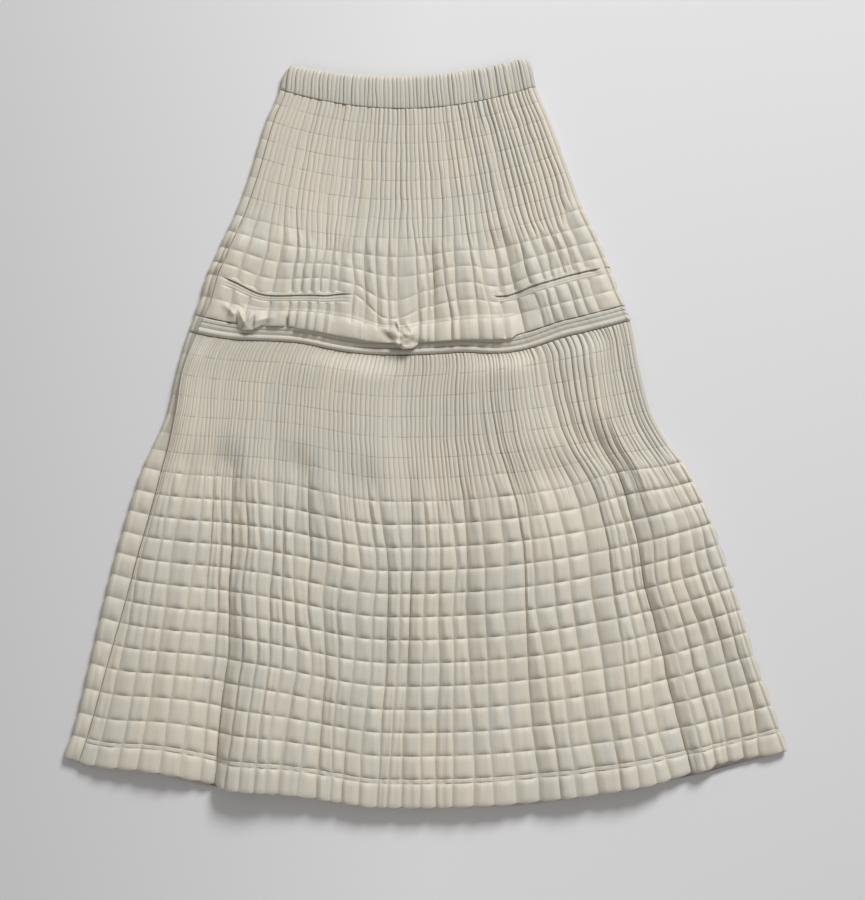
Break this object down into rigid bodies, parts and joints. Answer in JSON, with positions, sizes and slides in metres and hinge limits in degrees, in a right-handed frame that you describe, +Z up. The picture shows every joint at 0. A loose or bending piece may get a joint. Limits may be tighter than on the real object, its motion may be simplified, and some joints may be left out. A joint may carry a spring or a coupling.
{
  "type": "quilted midi skirt",
  "caption": "Two-tier quilted midi skirt laid flat: elastic waistband, ribbed yoke, quilted hip with slit pockets, edged seam, flared quilted lower tier.",
  "frame": {"origin": "on the surface that the skirt lies on, below the middle of its bounding box", "axes": "+Z up from the surface, +Y from the hem to the waist, +X towards the wearer's left side; the front of the skirt faces up"},
  "size_m": [0.829, 0.8576, 0.0293],
  "materials": {
    "quilted_cloth": "thin woven nylon with a soft satin sheen, quilted over wadding",
    "trim": "the same woven nylon, unquilted, with a soft satin sheen"
  },
  "bodies": {
    "root": {"waistband_front": "trim", "waistband_back": "trim", "upper_front": "quilted_cloth", "upper_back": "quilted_cloth", "pocket_welt_right": "trim", "pocket_welt_left": "trim", "tier_band_front": "trim", "tier_band_back": "trim", "lower_front": "quilted_cloth", "lower_back": "quilted_cloth"}
  },
  "joints": []
}
